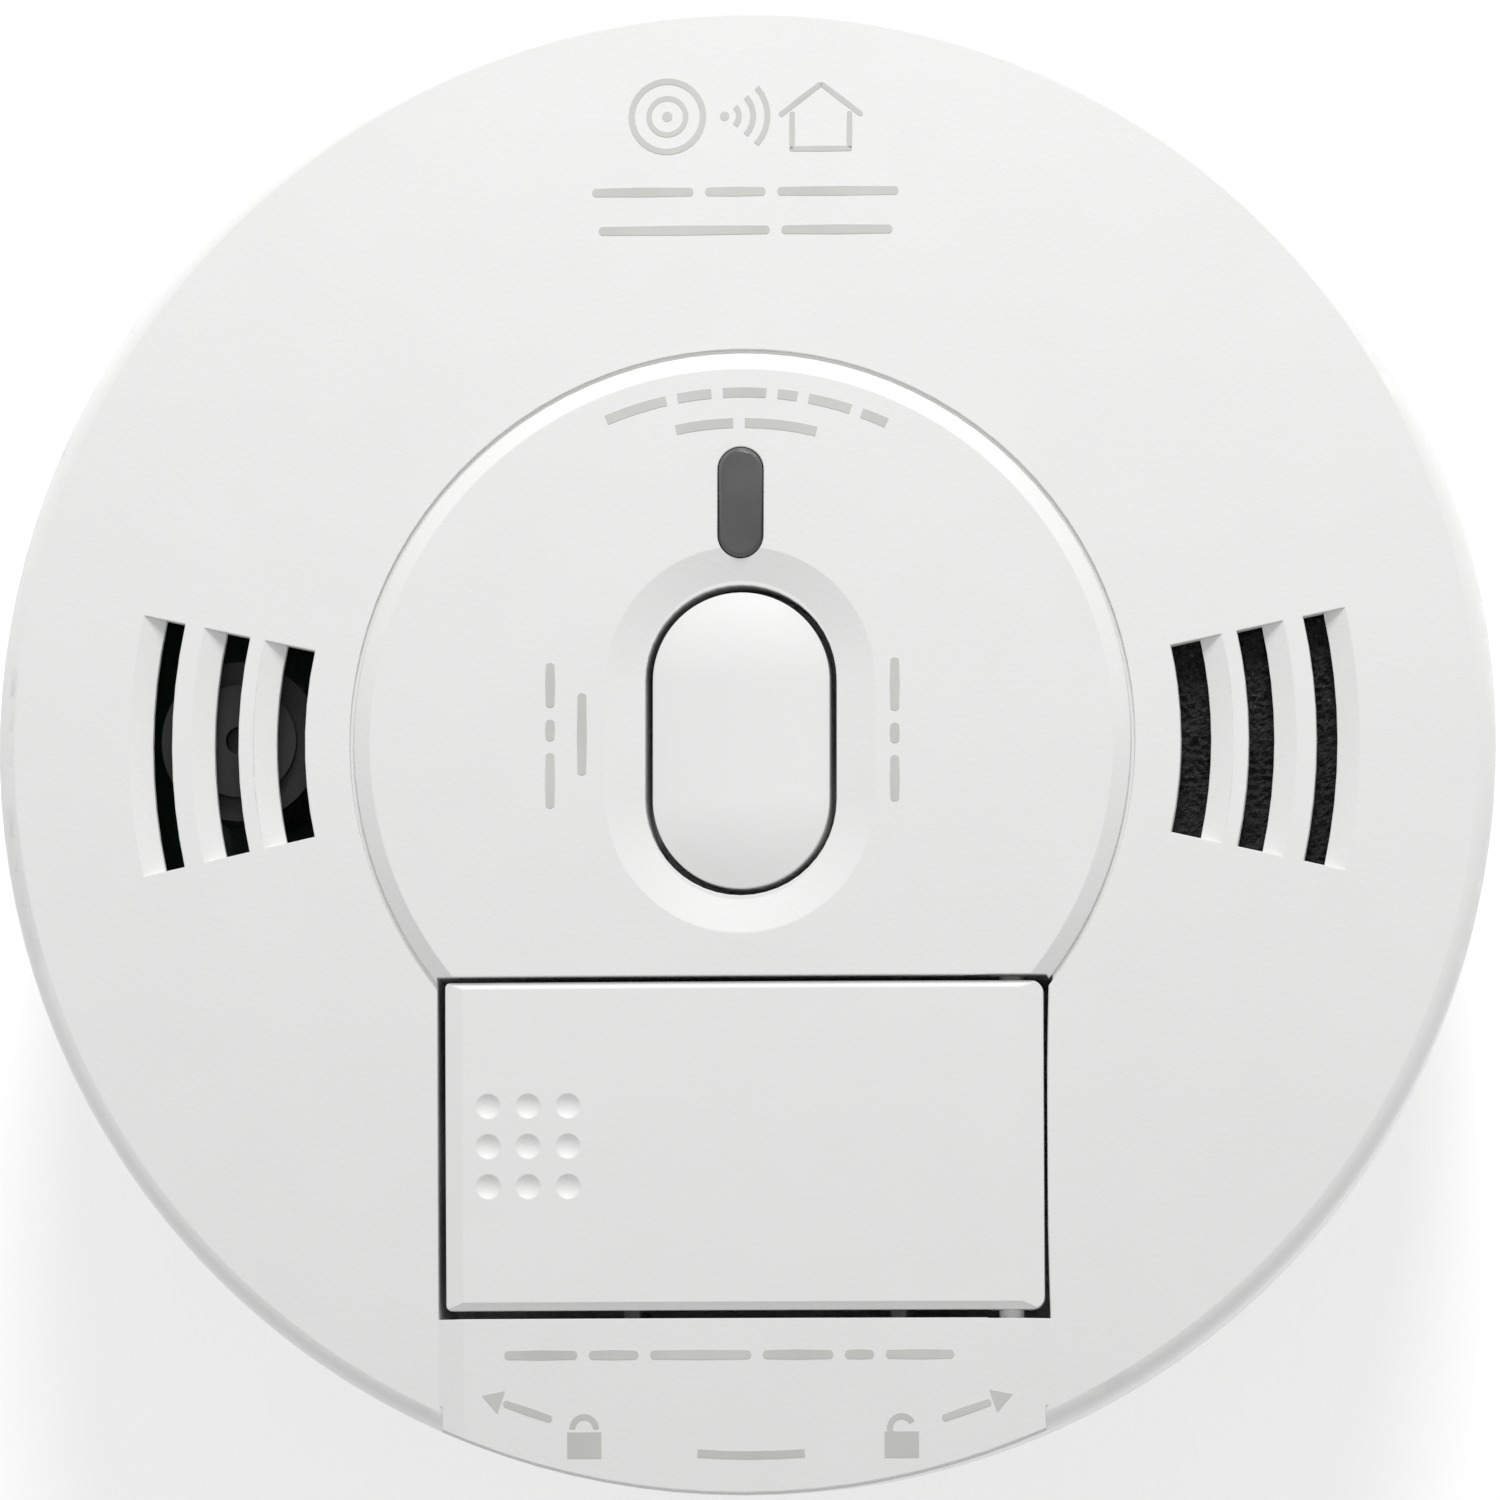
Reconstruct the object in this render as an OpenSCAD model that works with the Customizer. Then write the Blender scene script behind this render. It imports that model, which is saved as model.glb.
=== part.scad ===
// Battery powered smoke and carbon monoxide alarm, on the bracket that it twists onto.
// It lies on its back: +Z is the way the face points, +Y is up when it hangs on a wall,
// and the origin is the centre of the bracket's flat back.

/* [Body] */
// Outside diameter of the front cover
body_d = 146; // [144:1:180]
// Height from the wall to the middle of the raised panel
total_h = 45.7; // [45:0.1:58]
// Radius of the shallow dome that the face is part of
dome_r = 650; // [600:10:900]
// Wall of the front cover
cover_wall = 2.2; // [1.8:0.1:2.8]
// Wall of the rear housing
housing_wall = 2; // [1.6:0.1:2.4]
// Rounding of the rim
rim_r = 2.2; // [1:0.1:3]
// Height of the lower edge of the front cover
seam_z = 22; // [20:0.5:24]
// How much smaller the cover is at its lower edge
cover_draft = 0.7; // [0.2:0.1:1.2]
// Number of air slots round the side
side_slots = 60; // [24:4:72]
// Width of one side slot
side_slot_w = 2.4; // [1.6:0.1:2.8]

/* [Raised panel] */
// Height of the raised panel above the dome
panel_h = 0.9; // [0.6:0.1:1.4]
// Diameter of the round part at the foot of its chamfer
disc_d = 75.6; // [72:0.2:80]
// Width of the chamfer round the disc
disc_chamfer = 1.6; // [1:0.1:2]
// Width of the chamfer along the tongue that runs down to the rim
tongue_chamfer = 2.5; // [1.5:0.1:3]
// Width of the fine groove round the disc
groove_w = 0.4; // [0.2:0.1:0.8]
// Depth of that groove
groove_deep = 0.35; // [0.2:0.05:0.6]

/* [Face vents] */
// Inner radius of the first slot
vent_r = 42.6; // [42:0.1:44]
// Step from one slot to the next
vent_pitch = 6.55; // [6:0.05:7]
// Slots on each side
vent_count = 3; // [1:1:3]
// Width of the inner slot
vent_w = 2.9; // [2:0.1:3.2]
// How much narrower each further slot is
vent_w_step = 0.45; // [0:0.05:0.5]
// Angle that a slot spans
vent_angle = 24.6; // [16:0.2:28]
// Width of the ramp outside a slot
scoop_w = 2.2; // [1.5:0.1:2.6]
// Depth of the ramp at the slot
scoop_deep = 1.1; // [0.5:0.1:1.4]

/* [Test button] */
// Width of the button
button_w = 17.2; // [15:0.1:20.8]
// Length of the button
button_l = 28.8; // [27:0.1:30]
// Gap round the button
button_gap = 0.7; // [0.4:0.05:1]
// How far the button goes in
button_travel = 1; // [0.6:0.1:1.4]
// Height of its crown below the raised panel
button_sink = 0.2; // [0:0.1:0.6]
// Radius of the button's curved top
button_crown_r = 31.4; // [25:0.2:60]
// Depth of the dish round the button
dish_deep = 1.05; // [0.6:0.05:1.3]
// Width of the dish's slope
dish_slope = 4.5; // [3:0.1:5]
// Radius of the button's stem
stem_r = 2.5; // [2.1:0.1:2.8]

/* [Indicator] */
// Width of the lens
lens_w = 4.3; // [3.6:0.1:5]
// Length of the lens
lens_l = 10.7; // [9:0.1:11]
// Height of the lens's middle above the centre
lens_y = 23.1; // [22.8:0.1:24]

/* [Battery and door] */
// Length of the battery with its terminals
battery_l = 48.5; // [40:0.1:49]
// Width of the battery
battery_w = 26.5; // [24:0.1:27]
// Thickness of the battery
battery_t = 17.5; // [14:0.1:18]
// Height of the battery's terminals
terminal_h = 2.5; // [2:0.1:3]
// Spacing of the two terminals
terminal_pitch = 12.7; // [11:0.1:12.8]
// Room for the latch at the free end of the door
latch_room = 7.2; // [6.8:0.1:8]
// Room for the hinge past the terminals
hinge_room = 3.5; // [3.3:0.1:4.5]
// Room beside the battery
side_room = 3.3; // [3:0.1:4]
// Upper edge of the door's opening, below the centre
opening_top = 22.9; // [22.6:0.1:24]
// Gap at the free edge of the door
gap_free = 0.8; // [0.3:0.05:1]
// Gap at the hinged edge
gap_hinge = 0.35; // [0.3:0.05:0.5]
// Gap above the door
gap_top = 0.55; // [0.3:0.05:0.8]
// Gap below the door
gap_bottom = 0.85; // [0.3:0.05:1]
// Thickness of the door
door_t = 2.2; // [1.8:0.1:2.4]
// Depth of the hinge below the middle of the raised panel
hinge_deep = 5.9; // [5.7:0.05:6.2]
// Distance of the hinge from the door's edge
hinge_inset = 3.3; // [3:0.1:3.5]
// Radius of the hinge pins
hinge_pin_r = 1.2; // [0.9:0.05:1.25]
// Width of one finger dimple
dimple_d = 2.4; // [1.6:0.1:3]
// Spacing of the dimples
dimple_pitch = 3.9; // [3.2:0.1:4.4]

/* [Bracket] */
// Diameter of the bracket
bracket_d = 132; // [130:1:136]
// Thickness of its plate
bracket_t = 2; // [1.6:0.1:2.4]
// Height of its rim
bracket_rim_h = 6.5; // [6:0.1:7]
// Spacing of the screw slots across
screw_span_x = 84; // [76:1:88]
// Spacing of the screw slots up and down
screw_span_y = 64; // [62:1:66]
// Width of a screw slot
screw_slot_w = 4.5; // [3.5:0.1:5]
// Length of a screw slot
screw_slot_l = 12; // [8:0.5:14]
// Twist that frees the alarm, in degrees
twist = 15; // [12:1:16]

/* [Fits] */
// Running clearance of pins in their holes
run_gap = 0.05; // [0.03:0.01:0.1]
// Gap between shells that nest
nest_gap = 0.1; // [0.05:0.01:0.3]
// Gap between parts that move past each other
free_gap = 0.3; // [0.2:0.05:0.4]

/* [Hidden] */
$fn = 96;
fine = 256;     // steps round the large, shallow curves
eps = 0.01;
white = [0.93, 0.93, 0.92];
shell_white = [0.88, 0.88, 0.87];
steel = [0.72, 0.73, 0.75];
black = [0.09, 0.09, 0.1];
green = [0.1, 0.38, 0.22];

// The face
body_r = body_d / 2;
dome_c = total_h - panel_h - dome_r;
disc_r = disc_d / 2;
inner_r = body_r - cover_draft - cover_wall;

// Height of the dome at a distance from the centre, on a surface that lies off above it
function dome_z(r, off = 0) = dome_c + sqrt(pow(dome_r + off, 2) - r * r);

// The rear housing, from the wall up
housing_z = bracket_t + 1.6;            // outer face of its floor
floor_z = housing_z + housing_wall;     // inner face of its floor
step_z = bracket_rim_h + free_gap;      // where it widens over the bracket's rim
nest_r = bracket_d / 2 - 2 - 0.25;      // radius that turns inside the bracket's rim
base_r = body_r - 5;                    // side wall just above the bracket
lip_h = 4;                              // lip that stands inside the cover
lip_r = inner_r - 1.9;                  // inner face of that lip
board_z = 14;                           // underside of the circuit board
board_t = 1.6;
board_top = board_z + board_t;
boss_r = 4.3;
boss_split = board_top + 3.4;           // where the bosses of the two shells meet
boss_at = body_r - 15.5;                // distance of the four bosses from the centre
screw_r = 1.45;
screw_head_r = 2.8;
board_screw_r = 1.2;
board_r = inner_r - 4;
post_at = [[34.5, 28.9], [-34.5, 28.9], [-22, -12]];

// The battery and its opening
opening_w = latch_room + battery_l + hinge_room;
opening_h = battery_w + 2 * side_room;
opening_y = -opening_top - opening_h / 2;
opening_x = opening_w / 2;
opening_y0 = -opening_top - opening_h;
door_x0 = -opening_x + gap_free;
door_x1 = opening_x - gap_hinge;
door_y0 = opening_y0 + gap_bottom;
door_y1 = -opening_top - gap_top;
hinge_x = door_x1 - hinge_inset;
hinge_z = total_h - hinge_deep;
edge_z = dome_z(norm([door_x1, door_y1])) + panel_h * (opening_x - door_x1 + 0.2) / tongue_chamfer;
hinge_sweep_r = norm([hinge_inset, edge_z - hinge_z]) + 0.2;
sweep_tilt = atan((dome_z(-opening_top) - dome_z(opening_y0)) / opening_h);
ear_t = 2.1;
tray_wall = 1.5;
tray_top = hinge_z - 3.8;
tray_x1 = hinge_x + hinge_sweep_r + 0.4; // inner face of the wall past the hinge
tray_side_top = dome_z(norm([tray_x1 + tray_wall, opening_y0 - tray_wall]), -cover_wall) - 0.2;
battery_top = hinge_z - 0.8;
battery_z = battery_top - battery_t;
tray_z = battery_z - tray_wall;
battery_x0 = -opening_x + latch_room;
battery_x1 = battery_x0 + battery_l;
terminal_z = battery_z + battery_t / 2;
contact_t = 0.5;
latch_x = -opening_x + latch_room / 2;
latch_pin_r = 1.5;
latch_top = hinge_z - 0.7;
latch_floor = battery_z + 1.4;
latch_spring_h = 8;

// Place of a terminal across the battery, on one side or the other
function terminal_y(side) = opening_y + side * terminal_pitch / 2;

// The tongue is as wide as the opening, so its sides line up with the door
tongue_foot = opening_x + eps;
tongue_top = tongue_foot - tongue_chamfer;

// The button
hole_w = button_w + 2 * button_gap;
hole_l = button_l + 2 * button_gap;
button_top = total_h - button_sink;
guide_z = total_h - 11.7;               // underside of the floor that guides the stem
guide_t = 2;
cap_t = 2.5;
lens_seat_z = total_h - 4.7;            // flat under the cover that the lens's flange meets
switch_h = 3.5;
switch_stroke = 0.25;
plunger_top = board_top + switch_h + 1.2;
stem_z = plunger_top + button_travel - switch_stroke;

// The sensors sit under the middle slot of each vent
sensor_x = vent_r + vent_pitch + vent_w / 2 - 1.2;
chamber_r = 16.5;
chamber_h = dome_z(sensor_x + chamber_r, -cover_wall) - board_top - 4.2;
co_r = 7.5;
co_h = dome_z(sensor_x + co_r, -cover_wall) - board_top - 6;
horn_r = 18;
horn_pins = [[-6, 0], [6, 0], [0, -9]];
horn_y = inner_r - horn_r - 5.6;

// Hooks that the housing's floor turns under
hook_r = [48, 52];
hook_stem = 8;                          // degrees
hook_reach = twist - 4;                 // degrees that a hook's head reaches past its stem
hook_slack = 0.6;                       // degrees
hook_angles = [90, 210, 330];
hook_top = floor_z + free_gap + 1.8;

// ---- Shapes that repeat ----

module ball(off) translate([0, 0, dome_c]) rotate([0, 90, 0]) sphere(r = dome_r + off, $fn = fine);

// All that lies under a surface off above the dome, out to a radius r
module under_dome(off, r) rotate_extrude() intersection() {
    translate([0, dome_c]) circle(r = dome_r + off, $fn = fine);
    translate([0, seam_z - 1]) square([r, total_h]);
}

// An upright slot outline with round ends
module stadium(w, l) {
    for (s = [-1, 1]) translate([0, s * (l - w) / 2]) circle(d = w);
    square([w, l - w], center = true);
}

module bar(w, l, z0, z1) translate([0, 0, z0]) linear_extrude(z1 - z0) stadium(w, l);

module block(low, high) translate(low) cube(high - low);

module post(p, r, z0, z1) translate([p[0], p[1], z0]) cylinder(r = r, h = z1 - z0);

// A ring sector with a rectangular section, centred on an angle
module sector(r0, r1, z0, z1, middle, span) rotate([0, 0, middle - span / 2])
    rotate_extrude(angle = span) translate([r0, z0]) square([r1 - r0, z1 - z0]);

// A sloping stadium: the outline grows from w0 to w1 on the way up
module flare(w0, w1, straight, z0, z1) {
    for (s = [-1, 1]) translate([0, s * straight / 2, z0]) cylinder(d1 = w0, d2 = w1, h = z1 - z0);
    rotate([90, 0, 0]) translate([0, 0, -straight / 2]) linear_extrude(straight)
        polygon([[-w0 / 2, z0], [w0 / 2, z0], [w1 / 2, z1], [-w1 / 2, z1]]);
}

// A round wire wound into a compression spring, standing on z = 0
module coil(r, h, wire, turns, steps = 18, sides = 8) {
    last = turns * steps;
    points = [for (k = [0:last], i = [0:sides - 1])
        let (t = 360 * k / steps, a = 360 * i / sides, out = r + wire / 2 * cos(a))
        [out * cos(t), out * sin(t), wire / 2 + (h - wire) * k / last + wire / 2 * sin(a)]];
    sides_of = [for (k = [0:last - 1], i = [0:sides - 1]) let (j = (i + 1) % sides)
        [k * sides + i, (k + 1) * sides + i, (k + 1) * sides + j, k * sides + j]];
    ends = [[for (i = [0:sides - 1]) i], [for (i = [sides - 1:-1:0]) last * sides + i]];
    polyhedron(points = points, faces = concat(sides_of, ends), convexity = 10);
}

module boss_places() for (a = [45:90:315]) rotate([0, 0, a]) translate([boss_at, 0, 0]) children();

module board_posts() for (p = post_at) translate(p) children();

// ---- The face, its raised panel and the cuts in it ----

// Centre of the rim's rounding, whose ends cross the side and the dome at a slight angle
round_over = 0.02;
round_x = body_r - rim_r + round_over;
round_z = dome_c + sqrt(pow(dome_r - rim_r + round_over, 2) - round_x * round_x);

// Half section of the cover's outside: the dome, the side and the disc
module cover_outline() {
    foot = dome_z(disc_r);
    rise = dome_z(disc_r - disc_chamfer, panel_h) - foot;
    intersection() {
        translate([0, dome_c]) circle(r = dome_r, $fn = fine);
        polygon([[0, seam_z], [body_r - cover_draft, seam_z], [body_r, round_z], [body_r, total_h],
            [0, total_h]]);
    }
    intersection() {
        translate([0, dome_c]) circle(r = dome_r + panel_h, $fn = fine);
        polygon([[0, foot - 1], [disc_r, foot - 1], [disc_r, foot],
            [disc_r - 2 * disc_chamfer, foot + 2 * rise], [0, foot + 2 * rise]]);
    }
}

// What the rounding takes off the rim, from one side of the tongue round to the other
module rim_rounding() difference() {
    rotate_extrude() difference() {
        translate([round_x, round_z]) square([rim_r + 2, total_h - round_z]);
        translate([round_x, round_z]) circle(r = rim_r);
    }
    block([0.3 - tongue_foot, -body_r - 5, 0], [tongue_foot - 0.3, 0, total_h + 1]);
}

// Everything inside the cover's wall
module cover_hollow() under_dome(-cover_wall, inner_r);

// The tongue that runs down from the disc, from a distance y0 below the centre to the rim.
// Its chamfers meet the dome all the way along.
module tongue(y0) {
    foot = sqrt(pow(dome_r, 2) - pow(tongue_foot, 2));
    rise = sqrt(pow(dome_r + panel_h, 2) - pow(tongue_top, 2)) - foot;
    sunk = 0.1;     // how far the chamfer runs on below the dome, as a share of itself
    low = foot - sunk * rise;
    low_x = tongue_foot + sunk * tongue_chamfer;
    start = asin(y0 / dome_r);
    end = asin(body_r / dome_r) + 0.3;
    intersection() {
        rotate([0, 0, -160]) rotate_extrude(angle = 140) intersection() {
            translate([0, dome_c]) circle(r = dome_r + panel_h, $fn = fine);
            translate([5, hinge_z - 2.3]) square([body_r - 5.2, 20]);
        }
        translate([0, 0, dome_c]) rotate([0, -90, 0]) rotate([0, 0, -end])
            rotate_extrude(angle = end - start, $fn = fine) polygon([
                [dome_r - 6, -low_x], [dome_r - 6, low_x], [low, low_x],
                [foot + 2 * rise, tongue_top - tongue_chamfer],
                [foot + 2 * rise, tongue_chamfer - tongue_top], [low, -low_x]]);
    }
}

// One side's slots, each with a ramp outside it
module vents() for (i = [0:vent_count - 1]) {
    r0 = vent_r + i * vent_pitch;
    r1 = r0 + vent_w - i * vent_w_step;
    rotate([0, 0, -vent_angle / 2]) rotate_extrude(angle = vent_angle) {
        translate([r0, total_h - 9]) square([r1 - r0, 10]);
        polygon([[r1 - eps, dome_z(r1) - scoop_deep], [r1 + scoop_w, dome_z(r1 + scoop_w)],
            [r1 + scoop_w, total_h + 1], [r1 - eps, total_h + 1]]);
    }
}

module hinge_rod(r, y0, y1) translate([hinge_x, y1, hinge_z]) rotate([90, 0, 0])
    cylinder(r = r, h = y1 - y0);

// ---- The two shells and the bracket ----

// Collar of the door's opening, well of the button, seat of the lens and screw bosses
module cover_fittings() intersection() {
    union() {
        block([-opening_x - tray_wall, opening_y0 - tray_wall, tray_top],
            [hinge_x + 2.6, -opening_top + tray_wall, total_h]);
        bar(hole_w + 2 * tray_wall, hole_l + 2 * tray_wall, guide_z, total_h);
        translate([0, lens_y]) bar(lens_w + 3, lens_l + 3, lens_seat_z, total_h);
        boss_places() post([0, 0], boss_r - 0.6, boss_split, total_h);
    }
    ball(-cover_wall / 2);
}

// Room for the door's hinged edge as it turns, which falls with the face towards the rim
module hinge_sweep() intersection() {
    translate([hinge_x, -opening_top, hinge_z]) rotate([90 + sweep_tilt, 0, 0])
        translate([0, 0, -2]) cylinder(r = hinge_sweep_r, h = opening_h + 4);
    block([hinge_x - 8, opening_y0 - 0.05, tray_top - 1], [hinge_x + 8, 0.05 - opening_top, total_h]);
}

module disc_groove() difference() {
    rotate_extrude() translate([disc_r, dome_z(disc_r) - groove_deep]) square([groove_w, 2]);
    block([-tongue_foot, -body_r, 0], [tongue_foot, 0, total_h + 1]);
}

module front_cover() color(white) difference() {
    union() {
        difference() {
            union() {
                rotate_extrude() cover_outline();
                tongue(-opening_y);
            }
            cover_hollow();
            rim_rounding();
        }
        cover_fittings();
    }
    bar(hole_w, hole_l, guide_z + guide_t, total_h + 1);
    cylinder(r = stem_r + run_gap, h = total_h);
    flare(hole_w, hole_w + 2 * dish_slope, hole_l - hole_w + 0.8, total_h - dish_deep, total_h + eps);
    translate([0, lens_y]) bar(lens_w + 2 * nest_gap, lens_l + 2 * nest_gap, guide_z, total_h + 1);
    block([-opening_x, opening_y0, tray_top - 1], [opening_x, -opening_top, total_h + 1]);
    hinge_sweep();
    hinge_rod(hinge_pin_r + run_gap, opening_y0 - tray_wall - 1, tray_wall + 1 - opening_top);
    for (side = [0, 180]) rotate([0, 0, side]) vents();
    disc_groove();
    boss_places() post([0, 0], screw_r + run_gap, boss_split - 1, boss_split + 12);
}

module rear_housing() color(shell_white) difference() {
    union() {
        rotate_extrude() difference() {
            polygon([[0, housing_z], [nest_r, housing_z], [nest_r, step_z], [base_r, step_z],
                [inner_r + 1.3, seam_z], [inner_r - nest_gap, seam_z],
                [inner_r - nest_gap, seam_z + lip_h], [0, seam_z + lip_h]]);
            polygon([[0, floor_z], [nest_r - housing_wall, floor_z],
                [nest_r - housing_wall, step_z + housing_wall],
                [base_r - housing_wall, step_z + housing_wall], [lip_r, seam_z - 1],
                [lip_r, total_h], [0, total_h]]);
        }
        boss_places() post([0, 0], boss_r, housing_z, boss_split);
        board_posts() post([0, 0], 3.2, housing_z, board_z);
    }
    boss_places() post([0, 0], screw_head_r + free_gap, 0, boss_split - 2.5);
    boss_places() post([0, 0], screw_r + run_gap, 0, total_h);
    board_posts() post([0, 0], board_screw_r + run_gap, board_z - 6, board_z + 1);
    for (i = [0:side_slots - 1]) rotate([0, 0, 360 * i / side_slots])
        block([base_r - housing_wall - 2, -side_slot_w / 2, step_z + housing_wall + 1],
            [body_r, side_slot_w / 2, seam_z - 2.8]);
    for (a = hook_angles) sector(hook_r[0] - 0.6, hook_r[1] + 0.6, housing_z - 1, floor_z + 1,
        a - twist / 2, hook_stem + twist + 2 * hook_slack);
}

module mounting_bracket() color(shell_white) difference() {
    union() {
        rotate_extrude() polygon([[0, 0], [bracket_d / 2, 0], [bracket_d / 2, bracket_rim_h],
            [bracket_d / 2 - 2, bracket_rim_h], [bracket_d / 2 - 2, bracket_t], [0, bracket_t]]);
        sector(20, 21.5, bracket_t - 0.5, bracket_t + 0.8, 0, 360);
        for (a = hook_angles) {
            sector(hook_r[0], hook_r[1], bracket_t - 0.5, hook_top, a, hook_stem);
            sector(hook_r[0], hook_r[1], floor_z + free_gap, hook_top, a + hook_reach / 2,
                hook_stem + hook_reach);
        }
    }
    for (s = [-1, 1]) {
        translate([s * screw_span_x / 2, 0]) rotate([0, 0, 90]) bar(screw_slot_w, screw_slot_l, -1, 5);
        translate([0, s * screw_span_y / 2]) bar(screw_slot_w, screw_slot_l, -1, 5);
    }
}

module housing_screws() color(steel) boss_places() difference() {
    union() {
        post([0, 0], screw_head_r, boss_split - 4.5, boss_split - 2.5);
        post([0, 0], screw_r, boss_split - 2.6, boss_split + 10);
    }
    cross_recess(boss_split - 4.5, 1);
}

// The cross in a screw's head, cut upward from its face or downward into it
module cross_recess(z, way) for (a = [0, 90]) rotate([0, 0, a])
    translate([0, 0, z + way * 0.5]) cube([3, 0.8, 1.4], center = true);

module rating_label() color("silver") translate([0, 0, housing_z - 0.15])
    linear_extrude(0.15) rounded(44, 26, 2);

module rounded(w, l, r) {
    for (x = [-1, 1], y = [-1, 1]) translate([x * (w / 2 - r), y * (l / 2 - r)]) circle(r = r);
    square([w - 2 * r, l], center = true);
    square([w, l - 2 * r], center = true);
}

// ---- Battery compartment ----

module battery_tray() color(shell_white) {
    difference() {
        union() {
            block([-opening_x - tray_wall, opening_y0 - tray_wall, tray_z],
                [tray_x1 + tray_wall, tray_wall - opening_top, tray_top]);
            block([tray_x1, opening_y0 - tray_wall, tray_z],
                [tray_x1 + tray_wall, tray_wall - opening_top, tray_side_top]);
        }
        block([-opening_x, opening_y0, battery_z], [tray_x1, -opening_top, total_h]);
        for (s = [-1, 1]) block([battery_x1 - 0.2, terminal_y(s) - 3.8, tray_z - 1],
            [battery_x1 + contact_t + 0.2, terminal_y(s) + 3.8, battery_z + 1]);
    }
    // Ribs that keep the battery in the middle, and the rib behind its contacts
    for (x = [-12, 14]) {
        block([x, opening_y0 - eps, battery_z - eps], [x + 1.5, opening_y0 + side_room - 0.2, tray_top]);
        block([x, 0.2 - side_room - opening_top, battery_z - eps], [x + 1.5, eps - opening_top, tray_top]);
    }
    block([battery_x1 + contact_t + 0.2, opening_y - 12, battery_z - eps],
        [battery_x1 + contact_t + 1.4, opening_y + 12, terminal_z + 2.6]);
    for (x = [5.6 - opening_x, opening_x - 5.6], y = [opening_y0 + 6, -opening_top - 4.5])
        post([x, y], 2, floor_z, tray_z + eps);
}

module battery() color("dimgray") translate([battery_x0, opening_y, battery_z + battery_t / 2])
    rotate([90, 0, 90]) linear_extrude(battery_l - terminal_h) rounded(battery_w, battery_t, 2);

module battery_terminals() color(steel) for (s = [-1, 1])
    translate([battery_x1 - terminal_h, terminal_y(s), terminal_z]) rotate([0, 90, 0]) difference() {
        cylinder(r = s < 0 ? 4 : 2.8, h = terminal_h);
        translate([0, 0, 1]) cylinder(r = s < 0 ? 3.1 : 1.2, h = terminal_h);
    }

module battery_contacts() color(steel) for (s = [-1, 1]) {
    block([battery_x1, terminal_y(s) - 3.5, board_top], [battery_x1 + contact_t, terminal_y(s) + 3.5,
        terminal_z + 4.2]);
    block([battery_x1, terminal_y(s) - 3.5, board_top],
        [tray_x1 + tray_wall + 2.4, terminal_y(s) + 3.5, board_top + contact_t]);
}

module latch_housing() color(shell_white) difference() {
    block([latch_x - 3.1, opening_y - 4, battery_z], [latch_x + 3.1, opening_y + 4, tray_top - 0.5]);
    post([latch_x, opening_y], latch_pin_r + run_gap, latch_floor, total_h);
}

module latch_plunger() color(black) {
    post([latch_x, opening_y], latch_pin_r, latch_floor + latch_spring_h, latch_top);
}

module latch_spring() color(steel) translate([latch_x, opening_y, latch_floor])
    coil(1.1, latch_spring_h, 0.35, 7, 14, 6);

// ---- Battery door ----

// The door's outline, with rounder corners at the hinge than at the free edge
module door_outline() {
    free_r = 0.5;
    hinge_r = 1.2;
    for (c = [[door_x0, free_r, 1], [door_x1, hinge_r, -1]], y = [door_y0 + c[1], door_y1 - c[1]])
        translate([c[0] + c[2] * c[1], y]) circle(r = c[1]);
    translate([door_x0 + free_r, door_y0]) square([door_x1 - door_x0 - free_r - hinge_r, door_y1 - door_y0]);
    translate([door_x0, door_y0 + free_r]) square([3, door_y1 - door_y0 - 2 * free_r]);
    translate([door_x1 - 3, door_y0 + hinge_r]) square([3, door_y1 - door_y0 - 2 * hinge_r]);
}

// The panel between the door's long edges, each with a bevel that follows the dome
module door_bevels() {
    bevel = 0.65;
    turn = asin(opening_x / dome_r) + 0.3;
    top = dome_r + panel_h;
    rise0 = sqrt(top * top - door_y0 * door_y0) - bevel;
    rise1 = sqrt(top * top - door_y1 * door_y1) - bevel;
    translate([0, 0, dome_c]) rotate([90, 0, 0]) rotate([0, 0, 90 - turn])
        rotate_extrude(angle = 2 * turn, $fn = fine) polygon([
            [dome_r - 6, 3 - door_y0], [rise0 - 3, 3 - door_y0], [rise0 + 3, -3 - door_y0],
            [rise1 + 3, 3 - door_y1], [rise1 - 3, -3 - door_y1], [dome_r - 6, -3 - door_y1]]);
}

module battery_door() color(white) {
    difference() {
        intersection() {
            intersection() {
                tongue(opening_top / 2);
                translate([0, 0, hinge_z - 2]) linear_extrude(total_h) door_outline();
            }
            door_bevels();
        }
        under_dome(panel_h - door_t, body_r);
        // Finger dimples
        for (i = [0:2], j = [-1:1]) dimple(door_x0 + 4.14 + i * dimple_pitch, opening_y + j * dimple_pitch);
    }
    intersection() {
        ball(panel_h - door_t / 2);
        union() {
            for (y = [door_y0, door_y1 - ear_t]) {
                hinge_rod(hinge_pin_r + 1, y, y + ear_t);
                block([hinge_x - hinge_pin_r - 1, y, hinge_z], [hinge_x + hinge_pin_r + 1, y + ear_t, total_h]);
            }
            // Striker over the latch
            post([latch_x, opening_y], 2, latch_top + free_gap, total_h);
        }
    }
    hinge_rod(hinge_pin_r, opening_y0 - 1.2, door_y0 + eps);
    hinge_rod(hinge_pin_r, door_y1 - eps, 1.2 - opening_top);
}

// A shallow round hollow in the panel's surface
module dimple(x, y) {
    deep = 0.35;
    r = (pow(dimple_d / 2, 2) + deep * deep) / (2 * deep);
    translate([x, y, dome_z(norm([x, y]), panel_h) + r - deep]) sphere(r = r, $fn = 48);
}

// ---- Test button and switch ----

module button_crown(r, off) {
    straight = button_l - button_w;
    for (s = [-1, 1]) translate([0, s * straight / 2, button_top - r]) sphere(r = r - off, $fn = 180);
    translate([0, straight / 2, button_top - r]) rotate([90, 0, 0])
        cylinder(r = r - off, h = straight, $fn = 180);
}

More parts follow.
